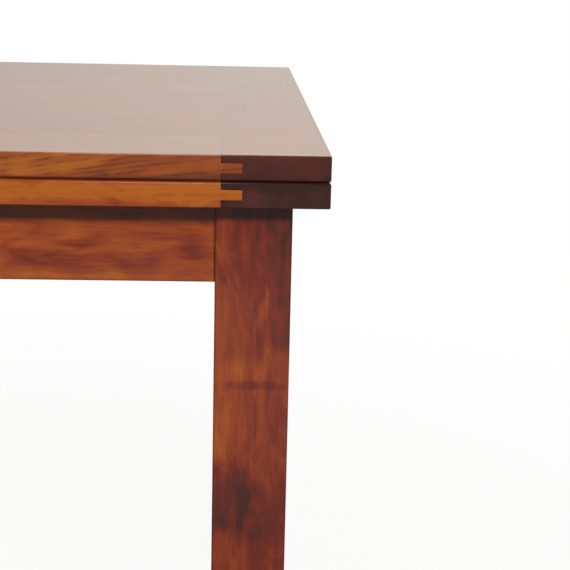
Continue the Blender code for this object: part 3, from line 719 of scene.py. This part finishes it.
def a_colour(name, description, hex_colour):
    """A colour that a user may change."""
    return bpy.props.FloatVectorProperty(
        name=name, description=description, subtype="COLOR", min=0, max=1, default=linear(hex_colour))


def a_length(name, description, default, least=0):
    """A length that a user may change, its default and least value in mm."""
    return bpy.props.FloatProperty(
        name=name, description=description, unit="LENGTH", min=least * MM, default=default * MM)


def a_number(name, description, default, low=0, **kind):
    """A share, brightness or power that a user may change."""
    return bpy.props.FloatProperty(name=name, description=description, min=low, default=default, **kind)


class TableWood(bpy.types.PropertyGroup):
    """Stain, figure and lacquer of the wood."""

    stain_dark: a_colour("Dark stain", "Stain in pores and heartwood", "#4C2019")
    stain_red: a_colour("Red stain", "Stain on most of the wood", "#7C2816")
    stain_orange: a_colour("Orange stain", "Stain on pale streaks and rubbed edges", "#9F4417")
    stain_amber: a_colour("Amber stain", "Stain on the palest streaks", "#BA641A")
    stain_brown: a_colour("Brown stain", "Tint of a browner board", "#96703F")
    end_dark: a_colour("Dark end grain", "Darkest stain on end grain", "#321A16")
    end_light: a_colour("Light end grain", "Lightest stain on end grain", "#5A2822")
    bare_dark: a_colour("Bare wood, dark", "Darker bands of the bare wood", "#A4733F")
    bare_light: a_colour("Bare wood, light", "Paler bands of the bare wood", "#D2A26C")
    # Laid by occlusion in narrow joints and inner corners: joint stain, and painted shade
    joint_stain_and_shade: a_colour("Joint stain", "Stain and dust in narrow joints", "#1C0E0C")
    ring_width: a_length("Ring width", "Growth of one year", 5, least=1)
    fibre_width: a_length("Fibre width", "Width of a streak of fibres", 1.8, least=0.5)
    blotch_width: a_length("Blotch width", "Width of a blotch of stain", 24, least=5)
    lacquer_roughness: a_number("Lacquer roughness", "0 is gloss, 1 is matt", 0.30, max=1, subtype="FACTOR")
    leaf_easing: a_length("Leaf easing", "How far the leaves' edges are rounded", 0.6)
    frame_easing: a_length("Frame easing", "How far edges of legs and aprons are rounded", 0.8)
    joint_radius: a_length("Joint edges", "Rounding of edges where boards meet", 0.15)


class TableHardware(bpy.types.PropertyGroup):
    """Metal, felt, plastic and glue, and the sizes of the screws."""

    brass: a_colour("Brass", "Polished brass", "#D9B36A")
    brass_tarnish: a_colour("Tarnish", "Tarnished brass", "#8C6A34")
    steel: a_colour("Steel", "Zinc-plated steel", "#BEBDB8")
    steel_stain: a_colour("Steel stain", "Dulled plating", "#86837C")
    felt: a_colour("Felt", "Wool felt", "#3C2E26")
    nylon: a_colour("Nylon", "Floor glides", "#1E1E20")
    glue: a_colour("Glue", "Dried glue in the inner corners", "#8A5A2E")
    hinge_screw_head: a_length("Hinge screw head", "Head diameter", 7, least=2)
    hinge_screw_length: a_length("Hinge screw length", "Head to point", 16, least=6)
    frame_screw_head: a_length("Frame screw head", "Head diameter", 8.4, least=4)
    brace_screw_length: a_length("Brace screw length", "Head to point", 35, least=10)
    runner_screw_length: a_length("Runner screw length", "Head to point", 52, least=10)
    slot_share: a_number("Slot width", "Share of the head's diameter", 0.16, 0.05, max=0.4, subtype="FACTOR")


class TableStage(bpy.types.PropertyGroup):
    """Floor and light."""

    floor: a_colour("Floor", "Floor and background", "#F6F6F6")
    floor_bounce: a_colour("Floor bounce", "Floor as it lights the table", "#707070")
    floor_shine: a_colour("Floor shine", "Floor as it shows in the lacquer", "#7E7E7E")
    room_back: a_number("Light behind", "Brightness of the room behind the table", 1.16)
    room_front: a_number("Light in front", "Brightness of the room in front of the table", 0.11)
    room_left: a_number("Light at the left", "Brightness of the wall at the left", 0.5)
    room: a_colour("Room", "Colour of the room's light", "#FFF7EB")
    key_power: a_number("Key light", "Power of the light at the front right", 82.5, unit="POWER")
    top_power: a_number("Top light", "Power of the small light overhead", 0.9, unit="POWER")


class TABLE_OT_finish_boards(bpy.types.Operator):
    """Stain and lacquer the boards of both leaves"""

    bl_idname = "table.finish_boards"
    bl_label = "Finish the boards"

    def execute(self, context):
        wood = context.scene.table_wood
        material = material_once("stained_acacia_boards", stained_acacia, "X", wood,
                                 wood.leaf_easing, LEAF_SHELTER)
        finish_wood(material, "upper_leaf_board", "lower_leaf_board")
        return {"FINISHED"}


class TABLE_OT_finish_breadboards(bpy.types.Operator):
    """Stain and lacquer the cross-grained ends of both leaves"""

    bl_idname = "table.finish_breadboards"
    bl_label = "Finish the breadboard ends"

    def execute(self, context):
        wood = context.scene.table_wood
        material = material_once("stained_acacia_breadboards", stained_acacia, "Y", wood,
                                 wood.leaf_easing, LEAF_SHELTER)
        finish_wood(material, "upper_leaf_breadboard", "lower_leaf_breadboard")
        return {"FINISHED"}


class TABLE_OT_fill_leaf_joints(bpy.types.Operator):
    """Fill the hairline joints of both leaves with the stain and lacquer that run into them"""

    bl_idname = "table.fill_leaf_joints"
    bl_label = "Fill the leaves' joints"

    def execute(self, context):
        material = bpy.data.materials["stained_acacia_boards"]
        for leaf in ("upper", "lower"):
            names = [node.name for node in matching(f"{leaf}_leaf_board_")]
            boards = sorted((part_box(name) for name in names), key=lambda box: box[0].y)
            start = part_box(f"{leaf}_leaf_breadboard_left")[1].x
            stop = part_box(f"{leaf}_leaf_breadboard_right")[0].x
            front, back = boards[0][0].y + FILLING_SETBACK, boards[-1][1].y - FILLING_SETBACK
            seams = [
                (start + FILLING_PLAY, start + JOINT_GAP - FILLING_PLAY, front, back),
                (stop - JOINT_GAP + FILLING_PLAY, stop - FILLING_PLAY, front, back),
            ]
            for near, far in zip(boards, boards[1:]):
                between = near[1].y + FILLING_PLAY, far[0].y - FILLING_PLAY
                seams.append((start + JOINT_GAP, stop - JOINT_GAP, *between))
            bottom, top = boards[0][0].z, boards[0][1].z
            shape = bmesh.new()
            for left, right, near, far in seams:
                for low, high in ((top - FILLING_DEPTH, top - FILLING_DROP),
                                  (bottom + FILLING_DROP, bottom + FILLING_DEPTH)):
                    thin_pad(shape, Vector((left, near, low)), Vector((right, far, high)))
            name = f"joint_filler_{leaf}"
            cut_from_log(new_piece(name, shape, material, f"{leaf}_leaf", sharp=30))
        return {"FINISHED"}


class TABLE_OT_finish_legs(bpy.types.Operator):
    """Stain and lacquer the legs"""

    bl_idname = "table.finish_legs"
    bl_label = "Finish the legs"

    def execute(self, context):
        wood = context.scene.table_wood
        material = material_once("stained_acacia_legs", stained_acacia, "Z", wood,
                                 wood.frame_easing, FRAME_SHELTER)
        finish_wood(material, "leg_")
        return {"FINISHED"}


class TABLE_OT_finish_aprons(bpy.types.Operator):
    """Stain and lacquer the aprons"""

    bl_idname = "table.finish_aprons"
    bl_label = "Finish the aprons"

    def execute(self, context):
        wood = context.scene.table_wood
        for grain, starts in (("X", ("apron_front", "apron_back")), ("Y", ("apron_left", "apron_right"))):
            material = material_once(f"stained_acacia_aprons_{grain.lower()}", stained_acacia, grain, wood,
                                     wood.frame_easing, FRAME_SHELTER)
            finish_wood(material, *starts)
        return {"FINISHED"}


class TABLE_OT_finish_hidden_wood(bpy.types.Operator):
    """Leave rails, runners and braces as bare planed wood"""

    bl_idname = "table.finish_hidden_wood"
    bl_label = "Finish rails, runners and braces"

    def execute(self, context):
        wood = context.scene.table_wood
        for grain, starts in (
            ("Y", ("guide_rail", "runner")),
            ("XY", ("corner_brace_front_right", "corner_brace_back_left")),
            ("YX", ("corner_brace_front_left", "corner_brace_back_right")),
        ):
            material = material_once(f"planed_hardwood_{grain.lower()}", planed_hardwood, grain, wood)
            finish_wood(material, *starts)
        return {"FINISHED"}


class TABLE_OT_finish_felts(bpy.types.Operator):
    """Give the strips that the top slides on their felt"""

    bl_idname = "table.finish_felts"
    bl_label = "Finish the felt strips"

    def execute(self, context):
        material = material_once("pressed_wool_felt", pressed_felt, context.scene.table_hardware.felt)
        for node in matching("apron_felt", "rail_felt"):
            dress(node, material)
        return {"FINISHED"}


class TABLE_OT_finish_glides(bpy.types.Operator):
    """Give the floor glides their moulded nylon"""

    bl_idname = "table.finish_glides"
    bl_label = "Finish the floor glides"

    def execute(self, context):
        material = material_once("moulded_nylon", moulded_nylon, context.scene.table_hardware.nylon)
        for node in matching("floor_glide"):
            dress(node, material)
            shade_round(node)
        return {"FINISHED"}


class TABLE_OT_finish_hinges(bpy.types.Operator):
    """Give hinge plates and links their brass, and the pins their steel"""

    bl_idname = "table.finish_hinges"
    bl_label = "Finish the hinges"

    def execute(self, context):
        metal = context.scene.table_hardware
        for material, starts in (
            (hinge_brass(metal), ("hinge_plate", "hinge_link")),
            (screw_steel(metal), ("hinge_pin",)),
        ):
            for node in matching(*starts):
                dress(node, material)
                shade_round(node)
        return {"FINISHED"}


class TABLE_OT_fit_hinge_screws(bpy.types.Operator):
    """Fit four countersunk brass screws in each hinge plate"""

    bl_idname = "table.fit_hinge_screws"
    bl_label = "Fit the hinge screws"

    def execute(self, context):
        metal = context.scene.table_hardware
        pivot_y = JOINTS["link_turn"]["pos_m"][1]
        for node in matching("hinge_plate"):
            low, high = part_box(node.name)
            leaf, hinge = node.name.removeprefix("hinge_plate_").split("_")
            face, inward = (high.z, (0, 0, -1)) if leaf == "lower" else (low.z, (0, 0, 1))
            places = [
                (Vector((x, pivot_y - row, face)), inward)
                for x in (low.x + HINGE_SCREW_INSET, high.x - HINGE_SCREW_INSET) for row in HINGE_SCREW_ROWS
            ]
            fit_screws(f"hinge_screws_{leaf}_{hinge}", places, f"{leaf}_leaf",
                       hinge_brass(metal), hinge_screw(metal))
        return {"FINISHED"}


class TABLE_OT_fit_runner_screws(bpy.types.Operator):
    """Fit three steel screws up through each runner into the lower leaf"""

    bl_idname = "table.fit_runner_screws"
    bl_label = "Fit the runner screws"

    def execute(self, context):
        metal = context.scene.table_hardware
        for side in ("left", "right"):
            low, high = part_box(f"runner_{side}")
            inner = corner_of_plan(f"runner_{side}", min).x
            x = inner + math.copysign(RUNNER_SCREW_INSET, inner)
            places = [
                (Vector((x, low.y + (high.y - low.y) * share, low.z)), (0, 0, 1))
                for share in RUNNER_SCREW_SHARES
            ]
            fit_screws(f"runner_screws_{side}", places, "lower_leaf",
                       screw_steel(metal), frame_screw(metal, metal.runner_screw_length))
        return {"FINISHED"}


class TABLE_OT_fit_brace_screws(bpy.types.Operator):
    """Fit four steel screws through each corner brace into the aprons"""

    bl_idname = "table.fit_brace_screws"
    bl_label = "Fit the brace screws"

    def execute(self, context):
        metal = context.scene.table_hardware
        for node in matching("corner_brace"):
            low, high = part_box(node.name)
            near, far = corner_of_plan(node.name, min), corner_of_plan(node.name, max)
            outward = Vector((math.copysign(1, near.x), math.copysign(1, near.y), 0)).normalized()
            ends = [Vector((near.x, far.y, 0)), Vector((far.x, near.y, 0))]
            inset = (ends[1] - ends[0]).normalized() * BRACE_SCREW_INSET
            places = [
                (start + Vector((0, 0, low.z + (high.z - low.z) * share)), outward)
                for start in (ends[0] + inset, ends[1] - inset) for share in BRACE_SCREW_SHARES
            ]
            corner = node.name.removeprefix("corner_brace_")
            fit_screws(f"brace_screws_{corner}", places, "frame",
                       screw_steel(metal), frame_screw(metal, metal.brace_screw_length))
        return {"FINISHED"}


class TABLE_OT_run_glue_beads(bpy.types.Operator):
    """Run dried glue down the inner corner of each joint between apron and leg, and round its tenon"""

    bl_idname = "table.run_glue_beads"
    bl_label = "Run the glue beads"

    def execute(self, context):
        material = material_once("dried_wood_glue", dried_glue, context.scene.table_hardware.glue)
        for corner in ("front_left", "front_right", "back_left", "back_right"):
            front, side = corner.split("_")
            leg = corner_of_plan(f"leg_{corner}", min)
            shape = bmesh.new()
            own = random.Random(corner)
            for apron, across in ((front, 0), (side, 1)):
                low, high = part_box(f"apron_{apron}")
                inner = corner_of_plan(f"apron_{apron}", min)
                inner[across] = leg[across]
                inward = [
                    Vector((-math.copysign(1, inner.x), 0, 0)),
                    Vector((0, -math.copysign(1, inner.y), 0)),
                ]
                glue_bead(shape, inner, *inward, low.z + BEAD_PLAY, high.z - BEAD_PLAY, own)
                # Below and above the tenon, across the apron's thickness
                through = inward[1 - across]
                thickness = abs(high[1 - across] - low[1 - across])
                start = inner - through * SHOULDER_GAP
                end = inner - through * (thickness - SHOULDER_GAP) + inward[across] * SHOULDER_GAP
                for bottom, top in (
                    (low.z + PAD_START, low.z + PAD_END),
                    (high.z - PAD_END, high.z - PAD_START),
                ):
                    thin_pad(shape, start + Vector((0, 0, bottom)), end + Vector((0, 0, top)))
            new_piece(f"glue_beads_{corner}", shape, material, "frame", sharp=50)
        return {"FINISHED"}


def add_light(name, power):
    """A rectangular area light that looks at its target."""
    place, target, size, colour = LAMPS[name]
    lamp = bpy.data.lights.new(name, "AREA")
    lamp.shape = "RECTANGLE"
    lamp.size, lamp.size_y = size
    lamp.energy = power
    lamp.color = colour
    light = bpy.data.objects.new(name, lamp)
    light.location = place
    light.rotation_euler = (Vector(target) - Vector(place)).to_track_quat("-Z", "Y").to_euler()
    bpy.context.collection.objects.link(light)
    return light


def pale_floor(name, stage):
    """Painted studio floor: nearly white to the camera, a little shadowed, and grey to everything else."""
    material, add = new_material(name)
    where = add("TexCoord").outputs["Object"]
    mist = add("TexNoise", {"Vector": where, "Scale": 1 / (400 * MM), "Detail": 3.0})
    tint = add("ValToRGB", mist)
    set_stops(tint, [(0.3, [c * 0.985 for c in stage.floor]), (0.7, stage.floor)])
    paint = add("BsdfDiffuse", tint)
    white = add("Emission", WHITE, 1.0)
    away = add("VectorMath", where, operation="LENGTH").outputs["Value"]
    fade = add("MapRange", away, 0.6, 2.2, 0.92, interpolation_type="SMOOTHSTEP")
    seen = add("MixShader", fade, paint, white)
    dim = add("BsdfDiffuse", stage.floor_bounce)
    far = add("MapRange", away, 1.4, 4.0)
    gleam = add("ValToRGB", far)
    set_stops(gleam, [(0.0, stage.floor_shine), (1.0, [c * 1.7 for c in stage.floor_shine])])
    shine = add("BsdfDiffuse", gleam)
    path = add("LightPath")
    bounced = add("MixShader", path.outputs["Is Glossy Ray"], dim, shine)
    floor = add("MixShader", path.outputs["Is Camera Ray"], bounced, seen)
    # From below it is clear, so that the underside of the table can be looked at
    side = add("NewGeometry")
    clear = add("BsdfTransparent")
    one_way = add("MixShader", side.outputs["Backfacing"], floor, clear)
    add("OutputMaterial", one_way)
    return material


def set_room(stage):
    """A cream room that is white to the camera, bright behind the table and dim in front of it."""
    world = bpy.data.worlds.new("studio_room")
    world.use_nodes = True
    world.node_tree.nodes.clear()
    add = partial(put, world.node_tree)
    where = add("TexCoord")
    direction = add("SeparateXYZ", where.outputs["Generated"])
    level = add("MapRange", direction.outputs["Y"], -0.15, 0.45, stage.room_front, stage.room_back,
                interpolation_type="SMOOTHSTEP")
    # The wall behind is brightest a little above the table, and brighter to the right
    rise = add("ValToRGB", direction.outputs["Z"])
    set_stops(rise, [(place, (share, share, share)) for place, share in ROOM_RISE])
    drift = add("MapRange", direction.outputs["X"], -0.20, 0.02, 0.84)
    shaped = add("Math", level, rise, operation="MULTIPLY")
    strength = add("Math", shaped, drift, operation="MULTIPLY")
    # A pale wall at the left fills the shadows
    side = add("MapRange", direction.outputs["X"], -0.5, -0.9, 0.0, stage.room_left)
    filled = add("Math", strength, side, operation="ADD")
    room = add("Background", stage.room, filled)
    white = add("Background", WHITE, 1.0)
    path = add("LightPath")
    seen = add("MixShader", path.outputs["Is Camera Ray"], room, white)
    add("OutputWorld", seen)
    bpy.context.scene.world = world


def set_camera():
    """The photograph's viewpoint, found by fitting the table's edges to its 570 pixel frame."""
    place = (0.3420, -1.8299, 0.9696)
    to_the_right, downward, roll = 2.752, 13.590, 1.357
    lens = bpy.data.cameras.new("viewpoint")
    lens.sensor_width = 36.0
    lens.lens = 93.79
    lens.clip_start, lens.clip_end = 0.05, 100.0
    camera = bpy.data.objects.new("viewpoint", lens)
    camera.matrix_world = Matrix.Translation(place)
    for angle, axis in ((-to_the_right, "Z"), (90 - downward, "X"), (roll, "Z")):
        camera.matrix_world @= Matrix.Rotation(math.radians(angle), 4, axis)
    bpy.context.collection.objects.link(camera)
    bpy.context.scene.camera = camera


class TABLE_OT_set_stage(bpy.types.Operator):
    """Lay the floor, light the room and place the camera"""

    bl_idname = "table.set_stage"
    bl_label = "Set the stage"

    def execute(self, context):
        stage = context.scene.table_stage
        shape = bmesh.new()
        bmesh.ops.create_circle(shape, cap_ends=True, segments=96, radius=FLOOR_RADIUS)
        mesh = bpy.data.meshes.new("studio_floor")
        shape.to_mesh(mesh)
        shape.free()
        floor = bpy.data.objects.new("studio_floor", mesh)
        floor.location.z = CAD_BOX[0].z - FLOOR_DROP
        context.collection.objects.link(floor)
        dress(floor, pale_floor("painted_studio_floor", stage))
        key = add_light("key_light", stage.key_power)
        # A flagged lamp: its glare is kept out of the lacquer
        key.visible_glossy = False
        add_light("top_light", stage.top_power)
        set_room(stage)
        set_camera()
        context.scene.view_settings.view_transform = "Standard"
        return {"FINISHED"}


class TABLE_PT_looks(bpy.types.Panel):
    """Lists the steps that finish the table, and their settings"""

    bl_idname = "TABLE_PT_looks"
    bl_label = "Dining table"
    bl_space_type = "VIEW_3D"
    bl_region_type = "UI"
    bl_category = "Table"

    def draw(self, context):
        for step in STEPS:
            self.layout.operator(step.bl_idname)
        for name, group in SETTINGS.items():
            box = self.layout.box()
            for setting in group.__annotations__:
                box.prop(getattr(context.scene, name), setting)


STEPS = (
    TABLE_OT_finish_boards,
    TABLE_OT_finish_breadboards,
    TABLE_OT_fill_leaf_joints,
    TABLE_OT_finish_legs,
    TABLE_OT_finish_aprons,
    TABLE_OT_finish_hidden_wood,
    TABLE_OT_finish_felts,
    TABLE_OT_finish_glides,
    TABLE_OT_finish_hinges,
    TABLE_OT_fit_hinge_screws,
    TABLE_OT_fit_runner_screws,
    TABLE_OT_fit_brace_screws,
    TABLE_OT_run_glue_beads,
    TABLE_OT_set_stage,
)
SETTINGS = {"table_wood": TableWood, "table_hardware": TableHardware, "table_stage": TableStage}


def register():
    """Register the settings, the steps and the panel."""
    for name, group in SETTINGS.items():
        bpy.utils.register_class(group)
        setattr(bpy.types.Scene, name, bpy.props.PointerProperty(type=group))
    for step in STEPS:
        bpy.utils.register_class(step)
    bpy.utils.register_class(TABLE_PT_looks)


def unregister():
    """Undo register."""
    bpy.utils.unregister_class(TABLE_PT_looks)
    for step in reversed(STEPS):
        bpy.utils.unregister_class(step)
    for name, group in SETTINGS.items():
        delattr(bpy.types.Scene, name)
        bpy.utils.unregister_class(group)


def main():
    """Run every step in order."""
    register()
    for step in STEPS:
        area, action = step.bl_idname.split(".")
        getattr(getattr(bpy.ops, area), action)()


if __name__ == "__main__":
    main()
